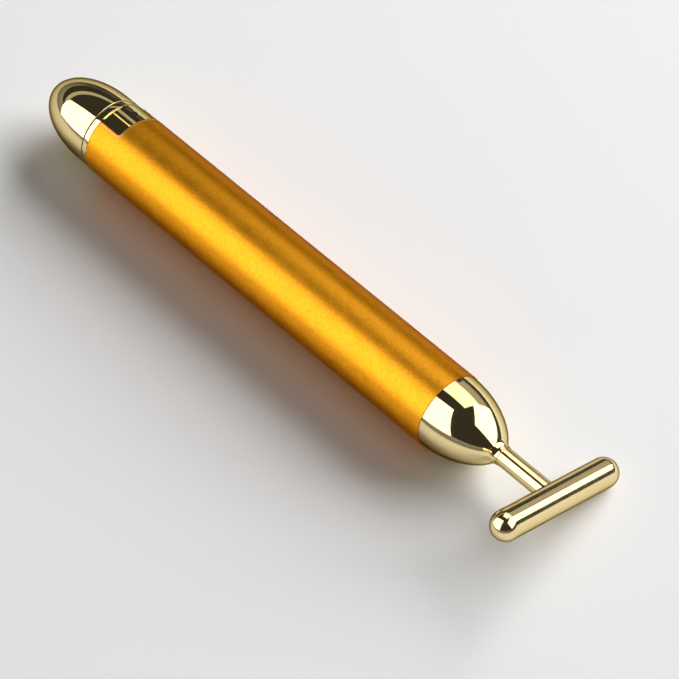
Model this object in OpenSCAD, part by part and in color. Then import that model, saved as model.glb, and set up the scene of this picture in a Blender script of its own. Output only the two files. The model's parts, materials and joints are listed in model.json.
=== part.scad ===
// Vibrating beauty bar: a gold tube with a polished T-shaped head on the front,
// a twist switch and a screw-off battery cap on the rear, one AA cell and a small
// motor with an eccentric weight inside. Millimetres.
// The bar lies on a table, on its tube and on one end of its crossbar: +X runs along
// the tube from the cap to the head, +Z is up, and the origin is under the middle.
// Pieces are drawn upright, with z along the tube from the tube's rear edge, and laid
// down together by laid_down().

/* [Battery] */
// Diameter of the AA cell
cell_d = 14.5; // [13.5:0.1:15]
// Length of the AA cell over its button
cell_len = 50.5; // [48:0.1:51]
// Thickness of the wrapped jacket
jacket_t = 0.1; // [0.05:0.01:0.2]
// Diameter of the positive button
button_d = 5.5; // [4:0.1:6]
// Height of the positive button
button_h = 1; // [0.8:0.1:1.5]
// Diameter of the negative end plate
end_plate_d = 10; // [8:0.1:11]
// Thickness of the negative end plate
end_plate_t = 0.5; // [0.3:0.05:0.8]

/* [Handle tube] */
// Radial room round the cell in the tube
cell_gap = 0.25; // [0.15:0.01:0.5]
// Wall of the tube
tube_wall = 0.75; // [0.7:0.01:1.5]
// Length of the tube
tube_len = 98.3; // [92:0.1:120]
// Length of the notch in the tube's rear edge
notch_len = 5.5; // [4:0.1:6.5]
// Angle that the notch spans round the tube
notch_angle = 90; // [80:1:120]
// Direction of the notch's near edge, from +Y towards +Z
notch_edge_at = 107.6; // [95:0.1:120]
// Radius of the notch's inner corners
notch_corner_r = 0.6; // [0.3:0.05:1]
// Chamfer on the tube's end edges
edge_chamfer = 0.12; // [0.05:0.01:0.2]

/* [Twist switch] */
// Width of the seam between the cap and the ring
seam = 0.2; // [0.1:0.01:0.3]
// Width of the seam between the ring and the tube
tube_seam = 0.35; // [0.2:0.01:0.5]
// Width of the polished ring
ring_w = 1.35; // [1.2:0.05:3]
// How far the ring's surface lies below the tube's
ring_drop = 0.2; // [0.05:0.01:0.3]
// How far the sleeve's surface lies below the tube's
sleeve_drop = 0.5; // [0.45:0.01:0.6]
// Wall of the sleeve
sleeve_wall = 0.4; // [0.35:0.01:0.5]
// Length of the sleeve inside the tube
sleeve_len = 8; // [7.6:0.1:10]
// Radial running clearance of the sleeve in the tube
run_gap = 0.06; // [0.03:0.01:0.1]
// Angle of the tongue that fills the notch
tongue_angle = 65.8; // [50:0.1:72]
// How far the tongue's surface lies below the tube's
tongue_drop = 0.2; // [0.05:0.01:0.3]
// Clearance between the tongue and the notch's sides
tongue_gap = 0.15; // [0.1:0.01:0.3]
// Diameter of the index dot on the tongue
dot_d = 1.9; // [1:0.1:2.5]
// Depth of the dot's filling
dot_h = 0.11; // [0.05:0.01:0.16]
// Angle from the tongue's near edge to the dot's middle
dot_angle = 21.7; // [14:0.1:30]
// Width of the snap ring's wire
snap_w = 0.5; // [0.4:0.05:0.6]
// Depth of the snap ring's groove in the sleeve
snap_depth = 0.2; // [0.15:0.01:0.22]

/* [Battery cap] */
// Length of the rounded cap behind the ring
cap_len = 17.1; // [14:0.1:24]
// Straight stretch at the cap's base
cap_straight = 2.7; // [1:0.1:5]
// How far the cap's surface lies below the tube's
cap_drop = 0.2; // [0.05:0.01:0.4]
// Wall of the cap's threaded spigot
spigot_wall = 0.8; // [0.6:0.05:1.2]
// How far the spigot reaches into the sleeve
spigot_len = 6; // [4:0.1:7]
// Radial clearance that stands for the thread
thread_gap = 0.08; // [0.05:0.01:0.12]
// Depth of the spring's pocket behind the cap's base
pocket_depth = 3; // [2:0.1:6]
// Thickness of the cap's seal ring
cap_seal_d = 0.6; // [0.5:0.05:0.7]
// Thickness of the spring's contact plate
spring_plate_t = 0.4; // [0.3:0.05:0.6]
// Diameter of the rivet's head
rivet_head_d = 2.6; // [2:0.1:3.5]
// Diameter of the rivet's shank
rivet_d = 1.4; // [1:0.1:1.8]

/* [Battery spring] */
// Room between the cap's spigot and the cell
spring_room = 3.5; // [3:0.1:6]
// Thickness of the spring's wire
spring_wire_d = 0.7; // [0.5:0.05:0.9]
// Mean radius of the curl on the contact plate
spring_base_r = 5.2; // [4.8:0.1:5.4]
// Mean radius of the curl on the cell
spring_tip_r = 2.8; // [2.2:0.1:3.4]
// Number of curls
spring_curls = 5; // [3:1:6]

/* [Contacts] */
// Thickness of the positive contact
contact_t = 0.3; // [0.2:0.05:0.5]
// Depth of the pocket that keeps a reversed cell off the contact
contact_recess = 0.7; // [0.4:0.05:0.8]
// Thickness of the contact carrier's disc
carrier_t = 4; // [3:0.1:5]
// Height of the boss that carries the earth ring
carrier_boss_h = 2; // [1.5:0.1:3]
// Radial clearance of moulded pieces in the tube
fit_gap = 0.05; // [0.03:0.01:0.1]
// Radial thickness of the earth ring
earth_ring_t = 0.5; // [0.4:0.05:0.8]
// Diameter of the two wires
lead_d = 1; // [0.8:0.05:1.2]
// Room for the wires between the carrier and the motor
lead_room = 4; // [3:0.1:8]

/* [Motor] */
// Diameter of the motor over its round sides
motor_d = 12; // [11:0.1:12.5]
// Thickness of the motor across its flats
motor_flats = 10; // [9:0.1:10.5]
// Length of the motor's can
motor_can_len = 13; // [12:0.1:16]
// Wall of the motor's can
motor_wall = 0.5; // [0.4:0.05:0.7]
// Length of the motor's plastic end cap
motor_end_len = 2; // [1.6:0.1:3]
// Diameter of the motor's shaft
shaft_d = 1.5; // [1:0.1:2]
// Radial running clearance of the shaft in its bushes
shaft_gap = 0.03; // [0.02:0.01:0.06]
// Diameter of the front bearing boss
boss_d = 4.4; // [4:0.1:5]
// Height of the front bearing boss
boss_h = 1; // [0.8:0.1:1.5]
// Radial thickness of the magnets
magnet_t = 1; // [0.8:0.1:1.2]
// Air gap between the rotor and the magnets
air_gap = 0.3; // [0.2:0.05:0.4]
// Clearance of the motor in its cradle
cradle_gap = 0.1; // [0.05:0.01:0.2]
// Front wall of the cradle
cradle_front_t = 0.8; // [0.6:0.1:1.5]
// Radius of the eccentric weight
weight_r = 4.8; // [3.5:0.1:5.2]
// Length of the eccentric weight
weight_len = 6; // [4:0.1:7]
// Wall round the shaft on the weight's light side
weight_hub_t = 1; // [0.8:0.1:1.4]
// Space between the cradle and the eccentric weight
weight_space = 1; // [0.5:0.1:2]

/* [Nose and head] */
// How far the nose's surface lies below the tube's at its base
nose_drop = 0.15; // [0.05:0.01:0.3]
// Length of the full nose curve, which the stem cuts short
nose_len = 14.8; // [13:0.1:18]
// Fullness of the nose curve along the bar, 2 for an ellipse
nose_curve_len = 1.906; // [1.8:0.01:2.1]
// Fullness of the nose curve across the bar, 2 for an ellipse
nose_curve_r = 1.716; // [1.6:0.01:2]
// Wall of the nose's spigot
nose_wall = 1.1; // [0.8:0.05:1.4]
// Distance from the nose's base to its inner floor
nose_floor = 6.7; // [6:0.1:8]
// Thickness of the nose's seal ring
nose_seal_d = 0.5; // [0.4:0.05:0.6]
// Distance of the nose's seal ring behind the tube's front edge
nose_seal_back = 3.5; // [2:0.1:4]
// Radius of the hollow neck in which the nose runs out to the stem
neck_r = 2; // [1:0.1:3]
// Width of the nose's flat end round the stem
neck_edge = 0.12; // [0.05:0.01:0.3]
// Diameter of the stem
stem_d = 3.94; // [3.5:0.01:4.5]
// Diameter of the stem's threaded tail
tail_d = 3; // [2:0.1:3.2]
// Depth to which the full stem enters the nose's tip
stem_seat = 2; // [1:0.1:3]
// Length of the stem that shows between the nose and the crossbar
stem_shown = 10.79; // [9:0.01:20]
// Height of the stem's nut
nut_h = 2.4; // [1.8:0.1:2.6]
// Width of the stem's nut across its flats
nut_flats = 5.5; // [5:0.1:6]
// Thickness of the stem's lock washer
washer_t = 0.6; // [0.4:0.1:0.8]
// Diameter of the crossbar
bar_d = 6.18; // [5:0.01:8]
// Length of the crossbar over its round ends
bar_len = 33.08; // [26:0.01:45]
// Depth to which the stem enters the crossbar
bar_seat = 2; // [1.5:0.1:3]

/* [Hidden] */
$fn = 72;

// Small margin that cuts run past a face
over = 1;
// Running clearance of small rings in their grooves
groove_gap = 0.04;

// Tube
cell_r = cell_d / 2;
bore_r = cell_r + cell_gap;
tube_r = bore_r + tube_wall;

// Twist switch
ring_r = tube_r - ring_drop;
sleeve_r = tube_r - sleeve_drop;
sleeve_in_r = sleeve_r - sleeve_wall;
counterbore_r = sleeve_r + run_gap;
tongue_r = tube_r - tongue_drop;
tongue_side = tongue_gap / tube_r * 180 / PI;
notch_far_at = notch_edge_at - notch_angle;
tongue_from = notch_far_at + tongue_side;
dot_floor_r = (sleeve_r + tongue_r) / 2;
switch_travel = notch_angle - tongue_angle - 2 * tongue_side;
ring_front = -tube_seam;
ring_rear = ring_front - ring_w;
cap_base = ring_rear - seam;
pad_t = 0.2;
wiper_t = 0.15;
wiper_tip_h = 0.12;
step_z = sleeve_len + wiper_t + wiper_tip_h + groove_gap + pad_t;
wiper_at = 200;
wiper_angle = 40;
pad_angle = 14;
snap_in_r = sleeve_r - snap_depth;
snap_out_r = counterbore_r + snap_depth / 2;
snap_z = (notch_len + sleeve_len) / 2 + snap_w / 2;

// Battery cap and spring
cap_r = tube_r - cap_drop;
spigot_r = sleeve_in_r - thread_gap;
spigot_in_r = spigot_r - spigot_wall;
seal_mid_r = sleeve_in_r - cap_seal_d / 4;
seal_z = (cap_base + ring_front) / 2 - seam;
plate_z = cap_base - pocket_depth;
cell_z = spigot_len + spring_room;
spring_from = plate_z + spring_plate_t;
rivet_depth = 2;
rivet_head_h = 0.5;
spring_bend = spring_wire_d * 1.3;
spring_lo = spring_from + spring_wire_d + spring_bend;
spring_hi = cell_z - spring_wire_d - spring_bend;
spring_rings = 8;
spring_steps = spring_curls * spring_rings;

// Contacts in front of the cell
cell_front = cell_z + cell_len;
carrier_face = cell_front + contact_t;
carrier_front = carrier_face + carrier_t;
boss_top = carrier_front + carrier_boss_h;
moulded_r = bore_r - fit_gap;
boss_r = moulded_r - earth_ring_t - fit_gap;
contact_d = 9;
tail_pin_r = 0.5;
tail_end = boss_top + 0.5;
lead_x = 3;
tab_t = 0.3;
tab_w = 1.4;
tab_x = boss_r - lead_d / 2 - tab_t;
cell_rim = 0.8;

// Motor
terminals_z = boss_top + lead_room;
terminal_h = 1.4;
motor_z = terminals_z + terminal_h;
can_z = motor_z + motor_end_len;
can_front = can_z + motor_can_len;
shaft_r = shaft_d / 2;
bush_in_r = shaft_r + shaft_gap;
front_bush_r = boss_d / 2 - motor_wall;
front_bush_len = 1.4;
rear_bush_r = bush_in_r + 0.7;
rear_bush_z = motor_z + 0.4;
magnet_r = motor_d / 2 - motor_wall;
core_r = min(magnet_r - magnet_t, motor_flats / 2 - motor_wall) - air_gap;
core_len = motor_can_len * 0.5;
core_z = can_z + motor_can_len * 0.27;
hub_t = 0.9;
core_hub_r = shaft_r + hub_t;
pole_w = 1.2;
shoe_t = 0.8;
comm_t = 0.55;
comm_r = shaft_r + comm_t;
comm_len = 1.6;
comm_z = can_z + 0.6;
brush_t = 0.2;
brush_h = 1;
leaf_t = 0.3;
wind_over = 0.7;
shaft_end = 0.5;
cradle_z = terminals_z - 0.5;
cradle_inner_front = can_front + cradle_gap;
cradle_front = cradle_inner_front + cradle_front_t;
weight_z = cradle_front + weight_space;
shaft_front = weight_z + weight_len + shaft_end;

// Nose and head
nose_r = tube_r - nose_drop;
nose_spigot_r = bore_r - fit_gap;
nose_in_r = nose_spigot_r - nose_wall;
nose_spigot_z = cradle_front;
nose_seal_mid_r = bore_r - nose_seal_d / 2 - groove_gap / 2;
nose_seal_z = tube_len - nose_seal_back;
floor_z = tube_len + nose_floor;
stem_r = stem_d / 2;
stem_hole_r = stem_r + fit_gap;
// Where the nose's curve would come down to the stem's hole, and where its neck begins
full_angle = acos(pow(stem_hole_r / nose_r, nose_curve_r / 2));
neck_angle = neck_start(0, full_angle, 20);
neck_mid = neck_centre(neck_angle);
tip_z = neck_mid[1];
bar_r = bar_d / 2;
bar_z = tip_z + stem_shown + bar_r;
bar_half = bar_len / 2 - bar_r;
stem_end = bar_z - bar_r + bar_seat;
washer_z = floor_z - washer_t;
nut_z = washer_z - nut_h;
nut_r = nut_flats / sqrt(3);
nut_room = 0.5;
thread_over = 0.5;
tail_z = nut_z - thread_over;
// The crossbar's lower end and the tube touch the same table
bar_tilt = asin((tube_r - bar_r) / bar_half);

// Whole bar
rear_tip = cap_base - cap_len;
front_tip = bar_z + bar_r;
middle_z = (rear_tip + front_tip) / 2;

// Lays the upright bar down along +X, with its first side to +Y and its second up
module laid_down() {
    translate([-middle_z, 0, tube_r]) rotate([90, 0, 90]) children();
}

// Cylinder from z0 to z1
module disc(r, z0, z1) {
    translate([0, 0, z0]) cylinder(r = r, h = z1 - z0);
}

// Ring between two radii from z0 to z1
module collar(r_out, r_in, z0, z1) {
    difference() {
        disc(r_out, z0, z1);
        disc(r_in, z0 - over, z1 + over);
    }
}

// Part of a ring, from one direction round to another
module arc_block(r_out, r_in, z0, z1, from, to) {
    rotate([0, 0, from]) rotate_extrude(angle = to - from)
        translate([r_in, z0]) square([r_out - r_in, z1 - z0]);
}

// Window in a tube's wall, open towards -z, with two round corners at its closed end.
// The corner's round stands a hair inside the straight sides, so that it only cuts them.
module rear_window(r_out, r_in, z0, z1, from, to, corner_r) {
    hair = 1.03;
    corner = asin(corner_r * hair / r_in);
    arc_block(r_out, r_in, z0, z1 - corner_r * hair, from, to);
    arc_block(r_out, r_in, z0, z1, from + corner, to - corner);
    for (at = [from + corner, to - corner])
        rotate([0, 0, at]) translate([r_in - over / 8, 0, z1 - corner_r * hair])
            rotate([0, 90, 0]) cylinder(r = corner_r, h = r_out - r_in + over / 4, $fn = 32);
}

// Round seal ring
module seal(mid_r, thickness, z) {
    translate([0, 0, z]) rotate_extrude() translate([mid_r, 0])
        circle(d = thickness, $fn = 24);
}

// Outline of the motor's can, two round sides and two flats
module motor_outline(grow) {
    intersection() {
        circle(r = motor_d / 2 + grow);
        square([motor_d + 2 * grow + over, motor_flats + 2 * grow], center = true);
    }
}

// One ring of points round a wire, square to the direction that it runs in
function wire_ring(p, along, side, r, sides) =
    let (t = along / norm(along))
    let (u0 = side - (side * t) * t)
    let (u = u0 / norm(u0))
    let (v = cross(t, u))
    [for (i = [0:sides - 1]) p + r * (cos(i * 360 / sides) * u + sin(i * 360 / sides) * v)];

// Wire along a list of [point, direction, side] stations, as one closed tube of triangles
module wire(stations, r, sides) {
    n = len(stations);
    rings = [for (s = stations) wire_ring(s[0], s[1], s[2], r, sides)];
    points = concat([for (ring = rings) each ring], [stations[0][0], stations[n - 1][0]]);
    skin = [for (i = [0:n - 2]) for (j = [0:sides - 1])
        let (a = i * sides + j, b = i * sides + (j + 1) % sides)
        each [[a, a + sides, b], [b, a + sides, b + sides]]];
    first = [for (j = [0:sides - 1]) [n * sides, j, (j + 1) % sides]];
    last = [for (j = [0:sides - 1])
        [n * sides + 1, (n - 1) * sides + (j + 1) % sides, (n - 1) * sides + j]];
    polyhedron(points = points, faces = concat(skin, first, last));
}

module handle_tube() {
    color("goldenrod") laid_down() difference() {
        rotate_extrude() polygon([
            [counterbore_r, 0], [tube_r - edge_chamfer, 0], [tube_r, edge_chamfer],
            [tube_r, tube_len - edge_chamfer], [tube_r - edge_chamfer, tube_len],
            [bore_r, tube_len], [bore_r, step_z], [counterbore_r, step_z]]);
        rear_window(tube_r + over / 2, counterbore_r - over / 4, -over, notch_len,
            notch_far_at, notch_edge_at, notch_corner_r);
        collar(snap_out_r + groove_gap, counterbore_r - over / 4,
            snap_z - snap_w / 2 - groove_gap, snap_z + snap_w / 2 + groove_gap);
    }
}

// Point of the nose's curve, which runs from its base at 0 to its full end at 90
function nose_point(t) =
    [nose_r * pow(cos(t), 2 / nose_curve_r), tube_len + nose_len * pow(sin(t), 2 / nose_curve_len)];

// Direction square to the nose's curve, outwards
function nose_normal(t) =
    let (step = 0.01)
    let (along = nose_point(t + step) - nose_point(t - step))
    [along[1], -along[0]] / norm(along);

// Middle of the neck's round where it would touch the curve at t
function neck_centre(t) = nose_point(t) + neck_r * nose_normal(t);

// Halves the span until that round just touches the nose's end round the stem too
function neck_start(low, high, tries) =
    let (middle = (low + high) / 2)
    tries == 0 ? middle
    : neck_centre(middle)[0] > stem_hole_r + neck_edge + neck_r ? neck_start(middle, high, tries - 1)
    : neck_start(low, middle, tries - 1);

module nose_cone() {
    steps = 24;
    outside = [for (i = [0:steps]) nose_point(neck_angle * i / steps)];
    neck_steps = 8;
    neck_normal = nose_normal(neck_angle);
    neck_turn = atan2(neck_normal[1], neck_normal[0]);
    neck = [for (i = [1:neck_steps]) let (t = 180 + neck_turn * (1 - i / neck_steps))
        neck_mid + neck_r * [cos(t), sin(t)]];
    dome_steps = 8;
    dome_h = nose_floor - washer_t - nut_h;
    pocket_r = nut_r + nut_room;
    inside_to = acos(pocket_r / nose_in_r);
    inside = [for (i = [0:dome_steps]) let (t = inside_to * i / dome_steps)
        [nose_in_r * cos(t), tube_len + dome_h * sin(t) / sin(inside_to)]];
    color("palegoldenrod") laid_down() difference() {
        rotate_extrude() polygon(concat(
            [[nose_in_r, nose_spigot_z], [nose_spigot_r, nose_spigot_z], [nose_spigot_r, tube_len]],
            outside,
            neck,
            [[0, tip_z], [0, floor_z], [pocket_r, floor_z]],
            [for (i = [dome_steps:-1:0]) inside[i]]));
        disc(stem_hole_r, tip_z - stem_seat, tip_z + over);
        disc(tail_d / 2 + fit_gap, floor_z - over, tip_z);
        collar(nose_spigot_r + over, nose_seal_mid_r - nose_seal_d / 2,
            nose_seal_z - nose_seal_d / 2 - groove_gap, nose_seal_z + nose_seal_d / 2 + groove_gap);
    }
}

module nose_seal() {
    color("black") laid_down() seal(nose_seal_mid_r, nose_seal_d, nose_seal_z);
}

module head_stem() {
    color("palegoldenrod") laid_down() {
        disc(stem_r, tip_z - stem_seat, stem_end);
        disc(tail_d / 2, tail_z, tip_z - stem_seat);
    }
}

module head_crossbar() {
    color("palegoldenrod") laid_down() difference() {
        translate([0, 0, bar_z]) rotate([0, 0, -bar_tilt]) rotate([0, 90, 0]) {
            cylinder(r = bar_r, h = 2 * bar_half, center = true);
            for (end = [-bar_half, bar_half]) translate([0, 0, end]) sphere(r = bar_r);
        }
        disc(stem_hole_r, bar_z - bar_r - over, stem_end);
    }
}

module stem_nut() {
    color("silver") laid_down() difference() {
        translate([0, 0, nut_z]) cylinder(r = nut_r, h = nut_h, $fn = 6);
        disc(tail_d / 2, nut_z - over, nut_z + nut_h + over);
    }
}

// Split spring washer
module stem_washer() {
    split = 8;
    color("silver") laid_down()
        arc_block(nut_flats / 2, tail_d / 2 + fit_gap, washer_z, floor_z, split, 360 - split);
}

module motor_cradle() {
    color("dimgray") laid_down() difference() {
        disc(moulded_r, cradle_z, cradle_front);
        translate([0, 0, cradle_z - over]) linear_extrude(cradle_inner_front - cradle_z + over)
            motor_outline(cradle_gap);
        disc(boss_d / 2 + cradle_gap, cradle_z, cradle_front + over);
    }
}

module motor_can() {
    color("silver") laid_down() difference() {
        union() {
            translate([0, 0, can_z]) linear_extrude(motor_can_len) motor_outline(0);
            disc(boss_d / 2, can_front, can_front + boss_h);
        }
        translate([0, 0, can_z - over]) linear_extrude(motor_can_len - motor_wall + over)
            motor_outline(-motor_wall);
        disc(front_bush_r, can_z, can_front + boss_h + over);
    }
}

module motor_end_cap() {
    color("ivory") laid_down() difference() {
        translate([0, 0, motor_z]) linear_extrude(motor_end_len) motor_outline(0);
        disc(rear_bush_r, rear_bush_z, can_z + over);
        for (side = [-lead_x, lead_x])
            translate([side, 0, motor_z + motor_end_len / 2])
                cube([tab_t + 2 * fit_gap, tab_w + 2 * fit_gap, motor_end_len + over], center = true);
    }
}

module motor_front_bush() {
    color("peru") laid_down()
        collar(front_bush_r, bush_in_r, can_front - front_bush_len, can_front + boss_h);
}

module motor_rear_bush() {
    color("peru") laid_down() collar(rear_bush_r, bush_in_r, rear_bush_z, can_z);
}

// Two tabs that run through the end cap and turn in as brushes beside the commutator
module motor_terminals() {
    leaf_z = comm_z + (comm_len - brush_h) / 2;
    brush_x = comm_r + groove_gap;
    color("gold") laid_down() for (turn = [0, 180]) rotate([0, 0, turn]) translate([0, -tab_w / 2, 0]) {
        translate([lead_x - tab_t / 2, 0, motor_z - terminal_h])
            cube([tab_t, tab_w, leaf_z + brush_h - motor_z + terminal_h]);
        translate([brush_x, 0, leaf_z]) cube([lead_x + tab_t / 2 - brush_x, tab_w, leaf_t]);
        translate([brush_x, 0, leaf_z]) cube([brush_t, tab_w, brush_h]);
    }
}

module motor_magnets() {
    flat_room = 6;
    half = asin((motor_flats / 2 - motor_wall) / magnet_r) - flat_room;
    color("darkslategray") laid_down() for (side = [0, 180])
        arc_block(magnet_r, magnet_r - magnet_t, core_z - wind_over, core_z + core_len + wind_over,
            side - half, side + half);
}

module battery_can() {
    can_r = cell_r - jacket_t;
    shoulder = cell_front - button_h;
    rim = cell_rim;
    color("silver") laid_down() rotate_extrude() polygon([
        [0, cell_z + end_plate_t], [end_plate_d / 2 + rim, cell_z + end_plate_t],
        [end_plate_d / 2 + rim, cell_z + rim / 4], [can_r - rim / 2, cell_z + rim / 4],
        [can_r, cell_z + rim], [can_r, shoulder - rim], [can_r - rim / 2, shoulder - rim / 4],
        [can_r - rim, shoulder], [button_d / 2 + rim / 4, shoulder],
        [button_d / 2, shoulder + rim / 4], [button_d / 2, cell_front - rim / 4],
        [button_d / 2 - rim / 4, cell_front], [0, cell_front]]);
}

module battery_end_plate() {
    color("lightgray") laid_down() disc(end_plate_d / 2, cell_z, cell_z + end_plate_t);
}

module battery_grommet() {
    color("darkgreen") laid_down()
        collar(end_plate_d / 2 + cell_rim, end_plate_d / 2, cell_z + cell_rim / 4,
            cell_z + end_plate_t);
}

module battery_jacket() {
    color("slategray") laid_down()
        collar(cell_r, cell_r - jacket_t, cell_z + cell_rim, cell_front - button_h - cell_rim);
}

module contact_carrier() {
    color("dimgray") laid_down() difference() {
        union() {
            disc(moulded_r, cell_front - contact_recess, carrier_front);
            disc(boss_r, carrier_front, boss_top);
        }
        disc(contact_d / 2 + fit_gap, cell_front - contact_recess - over, carrier_face);
        disc(tail_pin_r + fit_gap, carrier_face - over, boss_top + over);
    }
}

module positive_contact() {
    color("gold") laid_down() {
        disc(contact_d / 2, cell_front, carrier_face);
        disc(tail_pin_r, carrier_face, tail_end);
    }
}

// Split spring ring that touches the tube's bore, with a tab turned in for the wire
module earth_ring() {
    outer = bore_r - fit_gap / 2;
    split = 8;
    tab_half = 15;
    color("gold") laid_down() {
        arc_block(outer, boss_r + fit_gap, carrier_front, boss_top + 2 * tab_t, split, 360 - split);
        arc_block((outer + boss_r) / 2, tab_x - lead_d / 2 - tab_t, boss_top, boss_top + tab_t,
            180 - tab_half, 180 + tab_half);
    }
}

// A wire that leans over from one end to the other in a smooth S
function lead_stations(x0, z0, x1, z1, steps) = [for (i = [0:steps])
    let (t = i / steps)
    [[x0 + (x1 - x0) * (1 - cos(180 * t)) / 2, 0, z0 + (z1 - z0) * t],
        [(x1 - x0) * sin(180 * t) * PI / 2, 0, z1 - z0], [0, 1, 0]]];

module positive_lead() {
    color("red") laid_down()
        wire(lead_stations(0, tail_end, lead_x, terminals_z, 12), lead_d / 2, 8);
}

module negative_lead() {
    color("midnightblue") laid_down()
        wire(lead_stations(-tab_x, boss_top + tab_t, -lead_x, terminals_z, 12), lead_d / 2, 8);
}

// Bare pad on the step in the tube, which the wiper reaches when the ring is twisted
module switch_pad() {
    pad_mid = wiper_at + switch_travel;
    color("gold") laid_down()
        arc_block(counterbore_r - fit_gap, bore_r + fit_gap, step_z - pad_t, step_z,
            pad_mid - pad_angle / 2, pad_mid + pad_angle / 2);
}

module switch_ring() {
    round_r = 0.15;
    mouth_r = seal_mid_r + cap_seal_d / 2 + groove_gap;
    color("palegoldenrod") laid_down() {
        difference() {
            union() {
                rotate_extrude() polygon([
                    [sleeve_in_r, ring_rear], [ring_r - round_r, ring_rear],
                    [ring_r, ring_rear + round_r], [ring_r, ring_front - round_r],
                    [ring_r - round_r, ring_front], [sleeve_r, ring_front],
                    [sleeve_r, sleeve_len], [sleeve_in_r, sleeve_len]]);
                intersection() {
                    rear_window(tongue_r + over / 2, sleeve_r - sleeve_wall / 2, 0,
                        notch_len - tongue_gap, tongue_from, tongue_from + tongue_angle,
                        notch_corner_r - tongue_gap);
                    collar(tongue_r, sleeve_r - sleeve_wall / 2, ring_front, notch_len);
                }
            }
            disc(mouth_r, ring_rear - over, seal_z + cap_seal_d / 2 + groove_gap);
            collar(sleeve_r + over / 4, snap_in_r - groove_gap,
                snap_z - snap_w / 2 - groove_gap / 2, snap_z + snap_w / 2 + groove_gap / 2);
            at_dot() cylinder(d = dot_d, h = over);
        }
    }
}

// Puts a shape on the flat floor of the tongue's shallow round hole
module at_dot() {
    rotate([0, 0, tongue_from + tongue_angle - dot_angle])
        translate([dot_floor_r, 0, notch_len / 2]) rotate([0, 90, 0]) children();
}

module index_dot() {
    color("black") laid_down() at_dot() cylinder(d = dot_d, h = dot_h);
}

// Split ring in matching grooves of the sleeve and the tube
module snap_ring() {
    split = 20;
    color("silver") laid_down()
        arc_block(snap_out_r, snap_in_r, snap_z - snap_w / 2, snap_z + snap_w / 2, split, 360 - split);
}

module switch_wiper() {
    wiper_mid_r = (bore_r + counterbore_r) / 2;
    color("gold") laid_down() {
        arc_block(sleeve_r - groove_gap, sleeve_in_r + groove_gap, sleeve_len,
            sleeve_len + wiper_t, wiper_at - wiper_angle / 2, wiper_at + wiper_angle / 2);
        rotate([0, 0, wiper_at]) translate([wiper_mid_r, 0, sleeve_len + wiper_t / 2])
            cylinder(r = sleeve_wall / 4, h = wiper_t / 2 + wiper_tip_h, $fn = 24);
    }
}

module battery_cap() {
    steps = 20;
    dome_h = cap_len - cap_straight;
    outside = [for (i = [0:steps]) let (t = 90 * i / steps)
        [cap_r * cos(t), cap_base - cap_straight - dome_h * sin(t)]];
    groove_r = seal_mid_r - cap_seal_d / 2;
    groove_z0 = seal_z - cap_seal_d / 2 - groove_gap;
    groove_z1 = seal_z + cap_seal_d / 2 + groove_gap;
    color("palegoldenrod") laid_down() difference() {
        rotate_extrude() polygon(concat(
            [[0, plate_z], [spigot_in_r, plate_z], [spigot_in_r, spigot_len],
                [spigot_r - edge_chamfer, spigot_len], [spigot_r, spigot_len - edge_chamfer],
                [spigot_r, groove_z1], [groove_r, groove_z1], [groove_r, groove_z0],
                [spigot_r, groove_z0], [spigot_r, cap_base], [cap_r - edge_chamfer, cap_base],
                [cap_r, cap_base - edge_chamfer]],
            outside));
        disc(rivet_d / 2, plate_z - rivet_depth, plate_z + over);
    }
}

module cap_seal() {
    color("black") laid_down() seal(seal_mid_r, cap_seal_d, seal_z);
}

module spring_plate() {
    color("silver") laid_down()
        collar(spigot_in_r - fit_gap, rivet_d / 2, plate_z, spring_from);
}

module spring_rivet() {
    color("lightgray") laid_down() {
        disc(rivet_d / 2, plate_z - rivet_depth, spring_from);
        disc(rivet_head_d / 2, spring_from, spring_from + rivet_head_h);
    }
}

// Conical spring: it rises square from the plate, bends over, winds inwards, and bends
// back to meet the cell square
function spring_r(i) = spring_base_r + (spring_tip_r - spring_base_r) * i / spring_steps;
function spring_at(i) =
    let (a = 360 * i / spring_rings)
    [spring_r(i) * cos(a), spring_r(i) * sin(a),
        spring_lo + (spring_hi - spring_lo) * i / spring_steps];
function spring_winding() = [for (i = [0:spring_steps])
    let (a = 360 * i / spring_rings)
    [spring_at(i), [-sin(a), cos(a), 0.1], [cos(a), sin(a), 0]]];
// Start: straight up from the plate, then a quarter bend into the first curl
function spring_foot() =
    let (bend = spring_bend)
    concat([[[spring_base_r, -bend, spring_from], [0, 0, 1], [1, 0, 0]]],
        [for (s = [0:30:60]) [[spring_base_r, -bend * cos(s), spring_lo - bend + bend * sin(s)],
            [0, sin(s), cos(s)], [1, 0, 0]]]);
// End: a quarter bend out of the last curl, then straight into the cell's end
function spring_head() =
    let (bend = spring_bend)
    concat([for (s = [30:30:90]) [[spring_tip_r, bend * sin(s), spring_hi + bend * (1 - cos(s))],
            [0, cos(s), sin(s)], [1, 0, 0]]],
        [[[spring_tip_r, bend, cell_z], [0, 0, 1], [1, 0, 0]]]);
spring_least_gap = min([for (i = [0:spring_steps - spring_rings + 1])
    for (j = [i + spring_rings - 1:spring_steps]) norm(spring_at(i) - spring_at(j))])
    - spring_wire_d;
echo(spring_least_gap = spring_least_gap);

module battery_spring() {
    color("silver") laid_down()
        wire(concat(spring_foot(), spring_winding(), spring_head()), spring_wire_d / 2, 6);
}

module motor_shaft() {
    color("silver") laid_down() disc(shaft_r, motor_z + shaft_end, shaft_front);
}

// One of the rotor's three poles, a leg with a curved shoe
module pole_outline() {
    translate([0, -pole_w / 2]) square([core_r - shoe_t / 2, pole_w]);
    intersection() {
        difference() {
            circle(r = core_r);
            circle(r = core_r - shoe_t);
        }
        polygon([[0, 0], [2 * core_r, 2 * core_r], [2 * core_r, -2 * core_r]]);
    }
}

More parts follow.
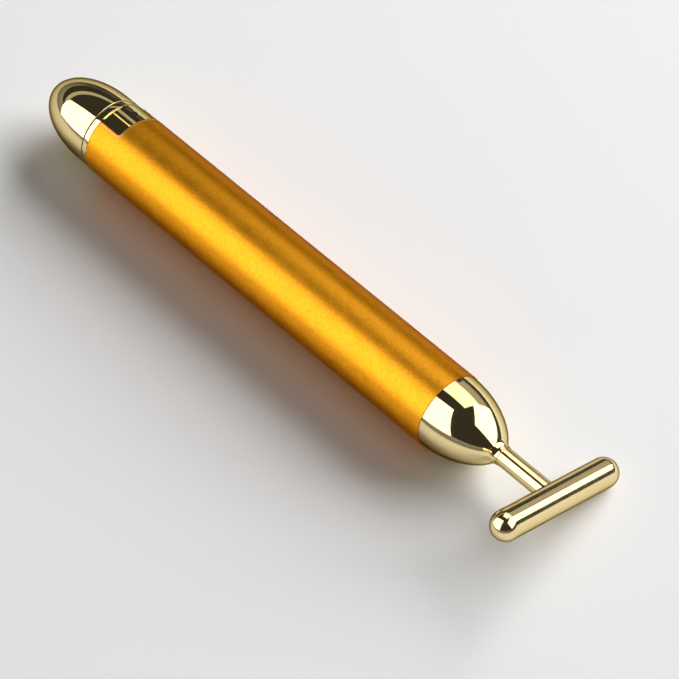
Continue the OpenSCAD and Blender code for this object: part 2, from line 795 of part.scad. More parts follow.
module rotor_core() {
    color("gray") laid_down() difference() {
        translate([0, 0, core_z]) linear_extrude(core_len) {
            circle(r = core_hub_r);
            for (turn = [0, 120, 240]) rotate(turn) pole_outline();
        }
        disc(shaft_r, core_z - over, core_z + core_len + over);
    }
}

module rotor_windings() {
    room = 0.02;
    inner = core_hub_r + 5 * groove_gap;
    outer = sqrt(pow(core_r - shoe_t - groove_gap, 2) - pow(pole_w, 2));
    color("chocolate") laid_down() for (turn = [0, 120, 240]) rotate([0, 0, turn])
        difference() {
            translate([inner, -pole_w, core_z - wind_over])
                cube([outer - inner, 2 * pole_w, core_len + 2 * wind_over]);
            translate([inner - over, -pole_w / 2 - room, core_z - room])
                cube([outer - inner + 2 * over, pole_w + 2 * room, core_len + 2 * room]);
        }
}

module commutator() {
    color("gold") laid_down() collar(comm_r, shaft_r, comm_z, comm_z + comm_len);
}

// Half disc on the shaft, heavy side down
module eccentric_weight() {
    color("dimgray") laid_down() difference() {
        union() {
            arc_block(weight_r, 0, weight_z, weight_z + weight_len, 180, 360);
            disc(shaft_r + weight_hub_t, weight_z, weight_z + weight_len);
        }
        disc(shaft_r, weight_z - over, weight_z + weight_len + over);
    }
}

handle_tube();
nose_cone();
nose_seal();
head_stem();
head_crossbar();
stem_nut();
stem_washer();
motor_cradle();
motor_can();
motor_end_cap();
motor_front_bush();
motor_rear_bush();
motor_terminals();
motor_magnets();
battery_can();
battery_end_plate();
battery_grommet();
battery_jacket();
contact_carrier();
positive_contact();
earth_ring();
positive_lead();
negative_lead();
switch_pad();
switch_ring();
index_dot();
snap_ring();
switch_wiper();
battery_cap();
cap_seal();
battery_spring();
spring_plate();
spring_rivet();
motor_shaft();
rotor_core();
rotor_windings();
commutator();
eccentric_weight();
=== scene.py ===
import json
import math
import bpy
import bmesh
from mathutils import Matrix, Vector


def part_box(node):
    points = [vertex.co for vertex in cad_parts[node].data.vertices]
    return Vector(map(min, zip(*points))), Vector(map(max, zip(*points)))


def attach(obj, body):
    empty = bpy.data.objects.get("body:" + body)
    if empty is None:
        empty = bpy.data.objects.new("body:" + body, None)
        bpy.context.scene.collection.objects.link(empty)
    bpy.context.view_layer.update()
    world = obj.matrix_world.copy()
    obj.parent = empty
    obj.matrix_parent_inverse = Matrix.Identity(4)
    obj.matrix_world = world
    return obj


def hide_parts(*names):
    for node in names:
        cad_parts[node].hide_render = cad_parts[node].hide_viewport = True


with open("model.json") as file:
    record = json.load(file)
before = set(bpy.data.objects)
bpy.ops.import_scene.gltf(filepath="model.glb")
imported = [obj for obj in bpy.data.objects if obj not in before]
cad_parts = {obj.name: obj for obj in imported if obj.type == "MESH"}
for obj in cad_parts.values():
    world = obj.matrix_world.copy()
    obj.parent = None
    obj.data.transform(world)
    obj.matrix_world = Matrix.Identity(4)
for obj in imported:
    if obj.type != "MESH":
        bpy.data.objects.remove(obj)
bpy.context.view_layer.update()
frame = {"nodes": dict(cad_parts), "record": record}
mm = 0.001

# Everything round is turned about the bar's own axis, which lies along +X
tubeLow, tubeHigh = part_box("handle_tube")
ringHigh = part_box("switch_ring")[1]
capLow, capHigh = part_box("battery_cap")
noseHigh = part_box("nose_cone")[1]
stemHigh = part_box("head_stem")[1]
barLow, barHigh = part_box("head_crossbar")
tubeR = (tubeHigh.z - tubeLow.z) / 2
axisZ = (tubeHigh.z + tubeLow.z) / 2
tubeRear = tubeLow.x
tubeFront = tubeHigh.x


def barPoint(x, r, angle):
    # angle in degrees from +Y towards +Z
    a = math.radians(angle)
    return Vector((x, r * math.cos(a), axisZ + r * math.sin(a)))


# Mesh helpers

# how finely every piece is meshed
mesh = {"sharpAngle": 32, "bevelAngle": 50, "weld": 1e-7, "filletSteps": 5, "filletShare": 0.49,
        "cornerSteps": 8, "round": 240, "noseRound": 320, "stemRound": 160, "barRound": 200,
        "floorRound": 96}


def newObject(name, verts, faces, material):
    data = bpy.data.meshes.new(name)
    data.from_pydata([tuple(v) for v in verts], [], faces)
    tidyMesh(data)
    data.materials.append(material)
    obj = bpy.data.objects.new(name, data)
    bpy.context.scene.collection.objects.link(obj)
    return obj


def newPiece(name, verts, faces, body, slot, material, replaces=()):
    obj = newObject(name, verts, faces, material)
    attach(obj, body)
    if replaces:
        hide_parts(*replaces)
    return obj


def tidyMesh(data):
    # weld what coincides, face outwards, smooth apart from the sharp edges
    bm = bmesh.new()
    bm.from_mesh(data)
    bmesh.ops.remove_doubles(bm, verts=bm.verts, dist=mesh["weld"])
    bmesh.ops.dissolve_degenerate(bm, edges=bm.edges, dist=mesh["weld"] / 10)
    bmesh.ops.recalc_face_normals(bm, faces=bm.faces)
    for face in bm.faces:
        face.smooth = True
    for edge in bm.edges:
        if len(edge.link_faces) == 2:
            edge.smooth = edge.calc_face_angle(0) < math.radians(mesh["sharpAngle"])
    bm.to_mesh(data)
    bm.free()


def filleted(points):
    # points are (x, r) or (x, r, radius); a radius rounds that corner with an arc
    out = []
    steps = mesh["filletSteps"]
    for i, p in enumerate(points):
        if len(p) < 3:
            out.append(p)
            continue
        here = Vector(p[:2])
        back = Vector(points[i - 1][:2]) - here
        ahead = Vector(points[i + 1][:2]) - here
        half = back.angle(ahead) / 2
        room = mesh["filletShare"] * min(back.length, ahead.length)
        reach = min(p[2] / math.tan(half), room)
        radius = reach * math.tan(half)
        between = (back.normalized() + ahead.normalized()).normalized()
        centre = here + between * radius / math.sin(half)
        start = here + back.normalized() * reach - centre
        turn = start.angle_signed(here + ahead.normalized() * reach - centre)
        for k in range(steps + 1):
            spot = start.copy()
            spot.rotate(Matrix.Rotation(-turn * k / steps, 2))
            out.append(tuple(centre + spot))
    return out


def ringFaces(rings, steps):
    # faces from each ring of points to the next
    faces = []
    for i in range(rings - 1):
        for j in range(steps):
            a, b = i * steps + j, i * steps + (j + 1) % steps
            faces.append((a, b, b + steps, a + steps))
    return faces


def sheetFaces(lines, points):
    # faces from each open line of points to the next
    faces = []
    for i in range(lines - 1):
        for j in range(points - 1):
            a, b = i * points + j, (i + 1) * points + j
            faces.append((a, b, b + 1, a + 1))
    return faces


def turned(profile, steps, radiusAt=None):
    # profile is (x, r) points turned about the bar's axis; radiusAt may move each point
    verts = []
    for x, r in profile:
        for j in range(steps):
            angle = 360 * j / steps
            radius = radiusAt(x, r, angle) if radiusAt else r
            verts.append(barPoint(x, radius, angle))
    return verts, ringFaces(len(profile), steps)


def joined(*parts):
    verts, faces = [], []
    for v, f in parts:
        shift = len(verts)
        verts += v
        faces += [tuple(i + shift for i in face) for face in f]
    return verts, faces


def strip(columns, rowsAt, r):
    # curved sheet at radius r: columns are angles, rowsAt(angle) gives its x values
    verts = [barPoint(x, r, angle) for angle in columns for x in rowsAt(angle)]
    return verts, sheetFaces(len(columns), len(verts) // len(columns))


def spread(low, high, count):
    return [low + (high - low) * i / count for i in range(count + 1)]


def cornerAngles(low, high, cornerAngle, coarse):
    # angles that crowd at both ends, where the corners are round
    quarter = [math.radians(t) for t in spread(0, 90, mesh["cornerSteps"])]
    ends = [cornerAngle * (1 - math.cos(t)) for t in quarter]
    middle = spread(low + cornerAngle, high - cornerAngle, coarse)
    return [low + a for a in ends] + middle[1:-1] + [high - a for a in reversed(ends)]


def roundedEnd(angle, low, high, r, cornerR):
    # how far a round corner draws the end edge back at this angle
    side = math.radians(min(angle - low, high - angle)) * r
    inset = max(0, cornerR - side)
    return cornerR - math.sqrt(max(0, cornerR ** 2 - inset ** 2))


def addWall(obj, thickness):
    # the mesh is the outer face, and the wall grows inwards from it
    wall = obj.modifiers.new("wall", "SOLIDIFY")
    wall.thickness = thickness
    wall.offset = -1
    wall.use_even_offset = True


def addBevel(obj, width, segments):
    bevel = obj.modifiers.new("edges", "BEVEL")
    bevel.width = width
    bevel.segments = segments
    bevel.limit_method = "ANGLE"
    bevel.angle_limit = math.radians(mesh["bevelAngle"])
    bevel.harden_normals = True


# Materials

def newMaterial(name):
    mat = bpy.data.materials.new(name)
    mat.use_nodes = True
    shader = mat.node_tree.nodes["Principled BSDF"]
    return mat, mat.node_tree.nodes, mat.node_tree.links, shader


def surfaceNoise(nodes, links, scale, detail):
    # noise that is fixed to the piece and measured in millimetres
    place = nodes.new("ShaderNodeTexCoord")
    mapping = nodes.new("ShaderNodeMapping")
    mapping.inputs["Scale"].default_value = (1 / mm, 1 / mm, 1 / mm)
    noise = nodes.new("ShaderNodeTexNoise")
    noise.inputs["Scale"].default_value = scale
    noise.inputs["Detail"].default_value = detail
    links.new(place.outputs["Object"], mapping.inputs["Vector"])
    links.new(mapping.outputs["Vector"], noise.inputs["Vector"])
    return noise


noiseLow, noiseHigh = 0.3, 0.7  # a noise texture hardly goes past these


def spanned(nodes, links, source, low, high):
    span = nodes.new("ShaderNodeMapRange")
    span.inputs["From Min"].default_value = noiseLow
    span.inputs["From Max"].default_value = noiseHigh
    span.inputs["To Min"].default_value = low
    span.inputs["To Max"].default_value = high
    links.new(source.outputs["Fac"], span.inputs["Value"])
    return span.outputs["Result"]


def tinted(nodes, links, source, colourA, colourB):
    ramp = nodes.new("ShaderNodeValToRGB")
    ramp.color_ramp.elements[0].position = noiseLow
    ramp.color_ramp.elements[0].color = (*colourA, 1)
    ramp.color_ramp.elements[1].position = noiseHigh
    ramp.color_ramp.elements[1].color = (*colourB, 1)
    links.new(source.outputs["Fac"], ramp.inputs["Fac"])
    return ramp.outputs["Color"]


def bumped(nodes, links, shader, source, height):
    bump = nodes.new("ShaderNodeBump")
    bump.inputs["Strength"].default_value = 1
    bump.inputs["Distance"].default_value = height
    links.new(source.outputs["Fac"], bump.inputs["Height"])
    links.new(bump.outputs["Normal"], shader.inputs["Normal"])


# edge is an edge tint set near black: painted shade that darkens the tube's reflections towards its
# rims
anodised = {"colour": (1.0, 0.435, 0.02), "deep": (0.80, 0.30, 0.007),
            "edge": (0.02, 0.012, 0.006), "roughLow": 0.37, "roughHigh": 0.42,
            "patches": 0.35, "patchDetail": 4, "grain": 3.0, "grainDetail": 2,
            "grainHeight": 0.03 * mm, "coat": 0.07, "coatRough": 0.25}


def anodisedGold():
    mat, nodes, links, shader = newMaterial("anodisedGold")
    shader.inputs["Metallic"].default_value = 1
    patches = surfaceNoise(nodes, links, anodised["patches"], anodised["patchDetail"])
    grain = surfaceNoise(nodes, links, anodised["grain"], anodised["grainDetail"])
    links.new(tinted(nodes, links, grain, anodised["deep"], anodised["colour"]),
              shader.inputs["Base Color"])
    links.new(spanned(nodes, links, patches, anodised["roughLow"], anodised["roughHigh"]),
              shader.inputs["Roughness"])
    # painted shade: the near-black edge tint darkens the reflections where the view grazes the rims
    shader.inputs["Specular Tint"].default_value = (*anodised["edge"], 1)
    shader.inputs["Coat Weight"].default_value = anodised["coat"]
    shader.inputs["Coat Roughness"].default_value = anodised["coatRough"]
    bumped(nodes, links, shader, grain, anodised["grainHeight"])
    return mat


# edge is a dark edge tint: painted shade that darkens the plating's reflections towards its rims
plating = {"colour": (0.96, 0.79, 0.43), "warm": (0.94, 0.75, 0.37), "edge": (0.1, 0.08, 0.05),
           "rough": 0.05, "headRough": 0.1, "least": 0.6, "most": 1.4, "smudge": 0.6,
           "smudgeDetail": 5, "wave": 0.25, "waveDetail": 1, "waveHeight": 0.004 * mm}


def goldPlate(name, rough):
    mat, nodes, links, shader = newMaterial(name)
    shader.inputs["Metallic"].default_value = 1
    smudge = surfaceNoise(nodes, links, plating["smudge"], plating["smudgeDetail"])
    wave = surfaceNoise(nodes, links, plating["wave"], plating["waveDetail"])
    links.new(tinted(nodes, links, smudge, plating["warm"], plating["colour"]),
              shader.inputs["Base Color"])
    links.new(spanned(nodes, links, smudge, rough * plating["least"], rough * plating["most"]),
              shader.inputs["Roughness"])
    # painted shade: the dark edge tint darkens the reflections where the view grazes the rims
    shader.inputs["Specular Tint"].default_value = (*plating["edge"], 1)
    bumped(nodes, links, shader, wave, plating["waveHeight"])
    return mat


metalSkin = {"metallic": 1, "grain": 3, "detail": 3, "least": 0.8, "most": 1.25,
             "height": 0.002 * mm}
mouldedSkin = {"metallic": 0, "grain": 4, "detail": 4, "least": 0.85, "most": 1.1,
               "height": 0.006 * mm}


def grained(name, skin, colour, darker, rough):
    mat, nodes, links, shader = newMaterial(name)
    shader.inputs["Metallic"].default_value = skin["metallic"]
    grain = surfaceNoise(nodes, links, skin["grain"], skin["detail"])
    links.new(tinted(nodes, links, grain, darker, colour), shader.inputs["Base Color"])
    links.new(spanned(nodes, links, grain, rough * skin["least"], rough * skin["most"]),
              shader.inputs["Roughness"])
    bumped(nodes, links, shader, grain, skin["height"])
    return mat


def plainMetal(name, colour, darker, rough):
    return grained(name, metalSkin, colour, darker, rough)


def moulding(name, colour, darker, rough):
    return grained(name, mouldedSkin, colour, darker, rough)


tubeGold = anodisedGold()
paleGold = goldPlate("goldPlate", plating["rough"])
headGold = goldPlate("headPlate", plating["headRough"])
# painted highlight: a paler, rougher gold for the strip along the notch's rim
paintedRimHighlight = plainMetal("paintedRimHighlight", (1.0, 0.88, 0.6), (0.98, 0.84, 0.54), 0.42)
finishes = {
    "seal_rubber": moulding("sealRubber", (0.02, 0.02, 0.02), (0.012, 0.012, 0.012), 0.55),
    "plain_steel": plainMetal("plainSteel", (0.62, 0.62, 0.63), (0.5, 0.5, 0.52), 0.3),
    "plated_steel": plainMetal("platedSteel", (0.80, 0.80, 0.79), (0.7, 0.7, 0.7), 0.16),
    "black_moulding": moulding("blackMoulding", (0.05, 0.05, 0.055), (0.035, 0.035, 0.04), 0.5),
    "white_moulding": moulding("whiteMoulding", (0.82, 0.80, 0.74), (0.76, 0.74, 0.68), 0.45),
    "sintered_bronze": plainMetal("sinteredBronze", (0.60, 0.38, 0.20), (0.45, 0.27, 0.13), 0.45),
    "contact_brass": plainMetal("contactBrass", (0.86, 0.68, 0.34), (0.76, 0.58, 0.27), 0.22),
    "ferrite": moulding("ferrite", (0.08, 0.08, 0.085), (0.05, 0.05, 0.055), 0.6),
    "battery_wrap": moulding("batteryWrap", (0.16, 0.22, 0.30), (0.13, 0.19, 0.27), 0.3),
    "red_wire": moulding("redWire", (0.60, 0.05, 0.04), (0.52, 0.04, 0.03), 0.4),
    "black_wire": moulding("blackWire", (0.04, 0.04, 0.05), (0.03, 0.03, 0.04), 0.4),
    "dot_enamel": moulding("dotEnamel", (0.03, 0.022, 0.012), (0.02, 0.015, 0.01), 0.25),
    "copper_winding": plainMetal("copperWinding", (0.70, 0.30, 0.12), (0.55, 0.2, 0.08), 0.35),
    "weight_metal": plainMetal("weightMetal", (0.40, 0.40, 0.42), (0.3, 0.3, 0.32), 0.42),
    "gold_anodised": tubeGold,
    "gold_polished": paleGold,
}
slotOf = {entry["node"]: entry["material_slot"] for entry in frame["record"]["subparts"]}
for node, obj in frame["nodes"].items():
    obj.data.materials.clear()
    obj.data.materials.append(finishes[slotOf[node]])
print("materials made:", len(bpy.data.materials))

# Handle tube, with its notch and a pale strip along the notch's rim, a painted highlight

tube = {"notchLen": 5.5 * mm, "notchNear": 107.6, "notchFar": 17.6, "cornerR": 0.6 * mm,
        "wall": 0.44 * mm, "edge": 0.05 * mm, "brightAcross": 0.45 * mm, "brightDeep": 0.16 * mm,
        "proud": 0.004 * mm, "edgeSteps": 3, "fineLen": 2 * mm, "fineRows": 8, "rows": 30,
        "columns": 180, "notchColumns": 60, "sideSteps": 12, "brightSteps": 6}


def makeTube():
    notch = tubeRear + tube["notchLen"]
    sideTop = notch - tube["cornerR"]
    clear = notch + tube["fineLen"]
    fine = tube["fineRows"]
    rest = spread(clear, tubeFront, tube["rows"])[1:]
    corner = math.degrees(tube["cornerR"] / tubeR)

    def outsideRows(angle):
        # the same at every angle
        return spread(tubeRear, sideTop, fine) + spread(sideTop, clear, fine)[1:] + rest

    def notchRows(angle):
        drawn = roundedEnd(angle, tube["notchFar"], tube["notchNear"], tubeR, tube["cornerR"])
        return spread(notch - drawn, clear, fine) + rest

    around = spread(tube["notchNear"], tube["notchFar"] + 360, tube["columns"])
    across = cornerAngles(tube["notchFar"], tube["notchNear"], corner, tube["notchColumns"])
    outside = strip(around, outsideRows, tubeR)
    inside = strip(across, notchRows, tubeR)
    obj = newPiece("handleTubeShell", *joined(outside, inside), "handle", "gold_anodised", tubeGold,
                   ["handle_tube"])
    addWall(obj, tube["wall"])
    addBevel(obj, tube["edge"], tube["edgeSteps"])


def makeRimHighlightStrip():
    # a slightly proud strip over the notch's rim chamfer, in a paler, rougher gold: its pale colour
    # is a painted highlight along the rim
    notch = tubeRear + tube["notchLen"]
    near, far, cornerR = tube["notchNear"], tube["notchFar"], tube["cornerR"]
    turn = math.degrees(cornerR / tubeR)
    cornerX = notch - cornerR
    mouth = tubeRear + tube["edge"]
    quarter = [math.radians(t) for t in spread(0, 90, mesh["cornerSteps"])[1:]]
    # the path holds (angle, x, way out of the notch as a step round and a step along)
    path = [(near, x, (1, 0)) for x in spread(mouth, cornerX, tube["sideSteps"])]
    path += [(near - turn + turn * math.cos(t), cornerX + cornerR * math.sin(t),
              (math.cos(t), math.sin(t))) for t in quarter]
    across = spread(near - turn, far + turn, tube["notchColumns"])
    path += [(angle, notch, (0, 1)) for angle in across[1:]]
    path += [(far + turn - turn * math.sin(t), cornerX + cornerR * math.cos(t),
              (-math.sin(t), math.cos(t))) for t in quarter]
    path += [(far, x, (-1, 0)) for x in spread(cornerX, mouth, tube["sideSteps"])[1:]]
    section = [math.radians(t) for t in spread(0, 90, tube["brightSteps"])]
    verts = []
    for angle, x, (outAngle, outX) in path:
        for t in section:
            away = tube["brightAcross"] * (1 - math.sin(t)) - tube["proud"] * math.sin(t)
            down = tube["brightDeep"] * (1 - math.cos(t)) - tube["proud"] * math.cos(t)
            side = math.degrees(outAngle * away / tubeR)
            verts.append(barPoint(x + outX * away, tubeR - down, angle + side))
    newPiece("notchHighlightStrip", verts, sheetFaces(len(path), len(section)), "handle",
             "gold_anodised", paintedRimHighlight)


makeTube()
makeRimHighlightStrip()
print("tube made")

# Battery cap: a long rounded dome with a threaded spigot

cap = {"radius": 8.05 * mm, "behindTube": 1.9 * mm, "straight": 2.7 * mm, "edge": 0.12 * mm,
       "pocket": 3 * mm, "spigotR": 7.22 * mm, "spigotInR": 6.47 * mm, "spigotEdge": 0.15 * mm,
       "threadFrom": 0.4 * mm, "threadShort": 0.3 * mm, "threadFade": 0.5 * mm,
       "threadDepth": 0.13 * mm, "pitch": 0.75 * mm, "domeSteps": 60, "threadSteps": 80}


def makeCap():
    base = tubeRear - cap["behindTube"]
    tip = capLow.x
    spigotEnd = capHigh.x
    straightEnd = base - cap["straight"]
    quarter = [math.radians(t) for t in spread(90, 0, cap["domeSteps"])]
    dome = [(straightEnd - (straightEnd - tip) * math.sin(t), cap["radius"] * math.cos(t))
            for t in quarter]
    pocketFloor = base - cap["pocket"]
    shoulder = filleted([(straightEnd, cap["radius"]), (base, cap["radius"], cap["edge"]),
                         (base, cap["spigotR"])])
    threadStart = tubeRear + cap["threadFrom"]
    threadEnd = spigotEnd - cap["threadShort"]
    thread = [(x, cap["spigotR"]) for x in spread(threadStart, threadEnd, cap["threadSteps"])]
    end = [(spigotEnd, cap["spigotR"] - cap["spigotEdge"]), (spigotEnd, cap["spigotInR"]),
           (pocketFloor, cap["spigotInR"]), (pocketFloor, 0)]

    def threadRadius(x, r, angle):
        # only the thread's own points move, deepest half a pitch away from the crest
        if x < threadStart or x > threadEnd or abs(r - cap["spigotR"]) > mesh["weld"]:
            return r
        turn = (x / cap["pitch"] - angle / 360) % 1
        fade = min(1, (x - threadStart) / cap["threadFade"], (threadEnd - x) / cap["threadFade"])
        return r - cap["threadDepth"] * abs(2 * turn - 1) * max(0, fade)

    profile = dome + shoulder[1:] + thread + end
    newPiece("batteryCapDome", *turned(profile, mesh["round"], threadRadius), "cap",
             "gold_polished", paleGold, ["battery_cap"])


makeCap()

# Switch ring: ring, sleeve and tongue

switch = {"ringR": 8.05 * mm, "sleeveR": 7.75 * mm, "sleeveInR": 7.35 * mm, "tongueR": 8.05 * mm,
          "ringFront": -0.35 * mm, "ringRear": -1.7 * mm, "edge": 0.15 * mm,
          "mouthLen": 1.2 * mm, "mouthWider": 0.15 * mm, "tongueLen": 5.35 * mm,
          "tongueFar": 18.64, "tongueNear": 84.44, "tongueCorner": 0.45 * mm,
          "tongueEdge": 0.29 * mm, "tongueEdgeSteps": 5, "tongueSunk": 0.02 * mm,
          "tongueColumns": (40, 30), "dotR": 0.96 * mm, "dotAngle": 62.74, "dotX": 2.75 * mm,
          "patchReach": 1.4, "patchCells": 12, "patchGap": 0.3, "patchRows": 5}


def makeSwitchRing():
    front = tubeRear + switch["ringFront"]
    rear = tubeRear + switch["ringRear"]
    mouth = (rear + switch["mouthLen"], switch["sleeveInR"])
    profile = filleted([
        mouth, (rear, switch["sleeveInR"] + switch["mouthWider"]),
        (rear, switch["ringR"], switch["edge"]), (front, switch["ringR"], switch["edge"] / 3),
        (front, switch["sleeveR"]), (ringHigh.x, switch["sleeveR"]),
        (ringHigh.x, switch["sleeveInR"]), mouth])
    newPiece("switchRingSleeve", *turned(profile, mesh["round"]), "switch", "gold_polished",
             paleGold, ["switch_ring"])


def makeTongue():
    end = tubeRear + switch["tongueLen"]
    low, high, r = switch["tongueFar"], switch["tongueNear"], switch["tongueR"]
    corner = math.degrees(switch["tongueCorner"] / tubeR)
    dotX, dotAngle = tubeRear + switch["dotX"], switch["dotAngle"]
    # a square patch of cells round the dot is left out and filled with rings of faces
    reach, cells = switch["patchReach"] * switch["dotR"], switch["patchCells"]
    reachAngle = math.degrees(reach / r)
    patchX = spread(dotX - reach, dotX + reach, cells)
    patchAngles = spread(dotAngle - reachAngle, dotAngle + reachAngle, cells)
    columnsBefore, columnsAfter = switch["tongueColumns"]
    before = cornerAngles(low, 2 * patchAngles[0] - low, corner, columnsBefore)
    before = [angle for angle in before if angle < patchAngles[0] - switch["patchGap"]]
    after = [low + high - angle for angle in cornerAngles(low, high, corner, columnsAfter)]
    after = sorted(angle for angle in after if angle > patchAngles[-1] + switch["patchGap"])
    columns = before + patchAngles + after

    def rows(angle):
        drawn = roundedEnd(angle, low, high, tubeR, switch["tongueCorner"])
        short = spread(tubeRear, patchX[0], switch["patchRows"])
        beyond = spread(patchX[-1], end - drawn, switch["patchRows"])
        return short[:-1] + patchX + beyond[1:]

    verts, faces = strip(columns, rows, r)
    rowCount = len(verts) // len(columns)
    first = len(before) * rowCount + switch["patchRows"]
    hidden = {first + j * rowCount + i for j in range(cells) for i in range(cells)}
    faces = [face for face in faces if face[0] not in hidden]
    rim = [(j, 0) for j in range(cells)] + [(cells, i) for i in range(cells)]
    rim += [(cells - j, cells) for j in range(cells)] + [(0, cells - i) for i in range(cells)]
    blends = (0, 0.35, 1)  # from the square rim to the round hole
    rings = []
    for blend in blends:
        for j, i in rim:
            outX, outY = patchX[i] - dotX, math.radians(patchAngles[j] - dotAngle) * r
            scale = (1 - blend) + blend * switch["dotR"] / math.hypot(outX, outY)
            turn = math.degrees(outY * scale / r)
            rings.append(barPoint(dotX + outX * scale, r, dotAngle + turn))
    patch = (rings, ringFaces(len(blends), len(rim)))
    obj = newPiece("switchTongue", *joined((verts, faces), patch), "switch", "gold_polished",
                   paleGold)
    addWall(obj, switch["tongueR"] - switch["sleeveR"] + switch["tongueSunk"])
    addBevel(obj, switch["tongueEdge"], switch["tongueEdgeSteps"])


makeSwitchRing()
makeTongue()
print("switch and cap made")

# Nose, stem and crossbar; "small" and "searchTo" are degrees

nose = {"radius": 8.10 * mm, "length": 14.8 * mm, "fullAlong": 1.906, "fullAcross": 1.716,
        "neckR": 2.0 * mm, "neckEdge": 0.12 * mm, "spigotDrop": 0.7 * mm, "spigotShown": 1 * mm,
        "seam": 0.03 * mm, "rimDrop": 0.06 * mm, "rimEnd": 0.08 * mm, "curveFrom": 0.1 * mm,
        "curveSteps": 90, "neckSteps": 16, "small": 0.01, "searchTo": 80, "searches": 30}
stem = {"radius": 1.97 * mm, "holeGap": 0.05 * mm, "sunk": 1.5 * mm}
crossbar = {"endSteps": 30, "lengthSteps": 30}


def makeNose():
    holeR = stem["radius"] + stem["holeGap"]

    def curve(t):
        a = math.radians(t)
        return Vector((tubeFront + nose["length"] * math.sin(a) ** (2 / nose["fullAlong"]),
                       nose["radius"] * math.cos(a) ** (2 / nose["fullAcross"])))

    def neckMiddle(t):
        along = (curve(t + nose["small"]) - curve(t - nose["small"])).normalized()
        return curve(t) + nose["neckR"] * Vector((-along.y, along.x))

    # the hollow neck starts where its round touches both the nose and the end round the stem
    low, high = 0, nose["searchTo"]
    for search in range(nose["searches"]):
        middle = (low + high) / 2
        if neckMiddle(middle).y > holeR + nose["neckEdge"] + nose["neckR"]:
            low = middle
        else:
            high = middle
    centre = neckMiddle(low)
    outside = [tuple(curve(t)) for t in spread(0, low, nose["curveSteps"])]
    outside = [p for p in outside if p[0] > tubeFront + nose["curveFrom"]]
    first = curve(low) - centre
    turns = spread(0, math.atan2(-first.x, -first.y), nose["neckSteps"])
    neck = [(centre.x - nose["neckR"] * math.sin(t), centre.y - nose["neckR"] * math.cos(t))
            for t in reversed(turns[:-1])]
    spigotR = nose["radius"] - nose["spigotDrop"]
    base = [(tubeFront - nose["spigotShown"], spigotR), (tubeFront + nose["seam"], spigotR),
            (tubeFront + nose["seam"], nose["radius"] - nose["rimDrop"]),
            (tubeFront + nose["rimEnd"], nose["radius"])]
    hole = [(centre.x, holeR), (centre.x - stem["sunk"], holeR)]
    profile = base + outside + neck + hole
    newPiece("noseShell", *turned(profile, mesh["noseRound"]), "handle", "gold_polished",
             paleGold, ["nose_cone"])


def makeStem():
    start, end = noseHigh.x - stem["sunk"], stemHigh.x
    profile = [(start, 0), (start, stem["radius"]), (end, stem["radius"]), (end, 0)]
    newPiece("headStemRod", *turned(profile, mesh["stemRound"]), "handle", "gold_polished",
             headGold, ["head_stem"])


def makeCrossbar():
    # the bar is turned about its own axis, which leans down to the table at its +Y end
    centre = (barLow + barHigh) / 2
    r = (barHigh.x - barLow.x) / 2
    reach = Vector((0, (barHigh.y - barLow.y) / 2 - r, -((barHigh.z - barLow.z) / 2 - r)))
    along = reach.normalized()
    side = along.cross(Vector((1, 0, 0)))
    half = reach.length
    quarter = [math.radians(t) for t in spread(0, 90, crossbar["endSteps"])]
    profile = [(-half - r * math.cos(t), r * math.sin(t)) for t in quarter]
    profile += [(s, r) for s in spread(-half, half, crossbar["lengthSteps"])[1:-1]]
    profile += [(half + r * math.sin(t), r * math.cos(t)) for t in quarter]
    steps = mesh["barRound"]
    verts = []
    for s, radius in profile:
        for j in range(steps):
            a = 2 * math.pi * j / steps
            out = Vector((1, 0, 0)) * math.cos(a) + side * math.sin(a)
            verts.append(centre + along * s + out * radius)
    newPiece("crossbarBody", verts, ringFaces(len(profile), steps), "handle", "gold_polished",
             headGold, ["head_crossbar"])


makeNose()
makeStem()
makeCrossbar()
print("head made")

# Floor, lights and camera

studio = {"floorR": 4.0, "rimHeight": 1.0, "rimR": 1.2, "rimSteps": 12,
          "paper": (0.88, 0.88, 0.88), "paperRough": 0.9, "paperShine": 0.1,
          "dark": (0.035, 0.033, 0.03)}


def makeFloor():
    mat, nodes, links, shader = newMaterial("paperFloor")
    shader.inputs["Base Color"].default_value = (*studio["paper"], 1)
    shader.inputs["Roughness"].default_value = studio["paperRough"]
    shader.inputs["Specular IOR Level"].default_value = studio["paperShine"]
    # a disc whose rim curves up
    profile = [(0, 0), (studio["floorR"] - studio["rimR"], 0)]
    for t in spread(0, 90, studio["rimSteps"])[1:]:
        a = math.radians(t)
        profile.append((studio["floorR"] - studio["rimR"] * (1 - math.sin(a)),
                        studio["rimHeight"] * (1 - math.cos(a))))
    steps = mesh["floorRound"]
    around = [2 * math.pi * j / steps for j in range(steps)]
    verts = [(r * math.cos(a), r * math.sin(a), z) for r, z in profile for a in around]
    floor = newObject("paperFloor", verts, ringFaces(len(profile), steps), mat)
    return floor


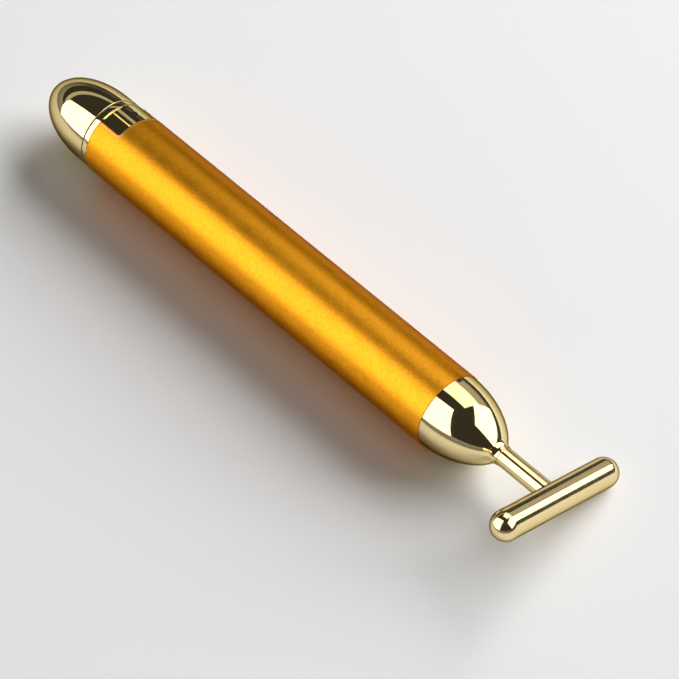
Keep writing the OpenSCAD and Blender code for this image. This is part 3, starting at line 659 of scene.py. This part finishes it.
# Each softbox is set by one lower corner and its two sides, in metres
softboxes = [
    {"name": "keyBox", "corner": (-1.309, -0.839, 0.01), "along": (1.447, 0.114, 0.168),
     "rise": (-0.133, 0.554, 0.766), "level": 2.05, "colour": (1, 1, 1), "lights": "bar"},
    {"name": "frontBox", "corner": (1.10, 0.0, 0.34), "along": (-0.93, 1.99, 0),
     "rise": (0, 0, 1.97), "level": 2.2, "colour": (1, 1, 1), "lights": "bar"},
    {"name": "sideBox", "corner": (0.07, 0.26, 0.190), "along": (-0.262, 0, 0),
     "rise": (0, -0.16, 0.231), "level": 1.35, "colour": (1, 1, 1), "lights": "bar"},
    {"name": "lowCard", "corner": (0.07, 0.262, 0.075), "along": (-0.145, 0, 0),
     "rise": (0, 0, 0.113), "level": 0.38, "colour": (1, 0.97, 0.9), "lights": "bar"},
    {"name": "rearBand", "corner": (-0.62, 1.60, 0.98), "along": (-1.60, -2.56, -0.49),
     "rise": (0, 0, 0.25), "level": 0.42, "colour": (1, 0.95, 0.85), "lights": "bar"},
    {"name": "floorBox", "corner": (1.25, 1.0, 0.28), "along": (-1.95, 0.7, 0),
     "rise": (0, -0.05, 1.3), "level": 7.1, "colour": (1, 1, 1), "lights": "floor"},
    {"name": "floorFill", "corner": (-1.0, -1.0, 1.6), "along": (2.0, 0, 0),
     "rise": (0, 2.0, 0), "level": 0.35, "colour": (1, 1, 1), "lights": "floor"},
]


def makeSoftbox(box, floor):
    corner, along, rise = Vector(box["corner"]), Vector(box["along"]), Vector(box["rise"])
    light = bpy.data.lights.new(box["name"], "AREA")
    light.shape = "RECTANGLE"
    light.size = along.length
    light.size_y = rise.length
    light.energy = box["level"] * math.pi * light.size * light.size_y
    light.color = box["colour"]
    obj = bpy.data.objects.new(box["name"], light)
    centre = corner + (along + rise) / 2
    # a lamp shines along its own -Z, and here that has to point at the bar
    across, up = along.normalized(), rise.normalized()
    back = across.cross(up)
    if back.dot(centre) < 0:
        across, back = -across, -back
    obj.matrix_world = Matrix((across, up, back)).transposed().to_4x4()
    obj.location = centre
    bpy.context.scene.collection.objects.link(obj)
    # the paper has lamps of its own, and those for the bar leave it out
    receivers = bpy.data.collections.new(box["name"] + "Receivers")
    obj.light_linking.receiver_collection = receivers
    receivers.objects.link(floor)
    state = "INCLUDE" if box["lights"] == "floor" else "EXCLUDE"
    receivers.collection_objects[0].light_linking.link_state = state


# place and aim are in millimetres, as is the lens; near and far are in metres
cameraView = {"place": (342.30, -224.25, 558.95), "aim": (14.96, -2.91, 8.25), "roll": -10.70,
              "lens": 184.635, "sensor": 36, "near": 0.01, "far": 50}


def makeCamera():
    data = bpy.data.cameras.new("photoCamera")
    data.sensor_width = cameraView["sensor"]
    data.lens = cameraView["lens"]
    data.clip_start = cameraView["near"]
    data.clip_end = cameraView["far"]
    camera = bpy.data.objects.new("photoCamera", data)
    place, aim = Vector(cameraView["place"]) * mm, Vector(cameraView["aim"]) * mm
    camera.rotation_mode = "QUATERNION"
    look = (aim - place).to_track_quat("-Z", "Y")
    roll = Matrix.Rotation(math.radians(cameraView["roll"]), 3, "Z")
    camera.rotation_quaternion = look @ roll.to_quaternion()
    camera.location = place
    bpy.context.scene.collection.objects.link(camera)
    bpy.context.scene.camera = camera


def makeWorld():
    world = bpy.data.worlds.new("darkStudio")
    bpy.context.scene.world = world
    world.use_nodes = True
    world.node_tree.nodes["Background"].inputs["Color"].default_value = (*studio["dark"], 1)


paperFloor = makeFloor()
for box in softboxes:
    makeSoftbox(box, paperFloor)
makeCamera()
makeWorld()
bpy.context.scene.view_settings.view_transform = "Standard"
print("studio made")
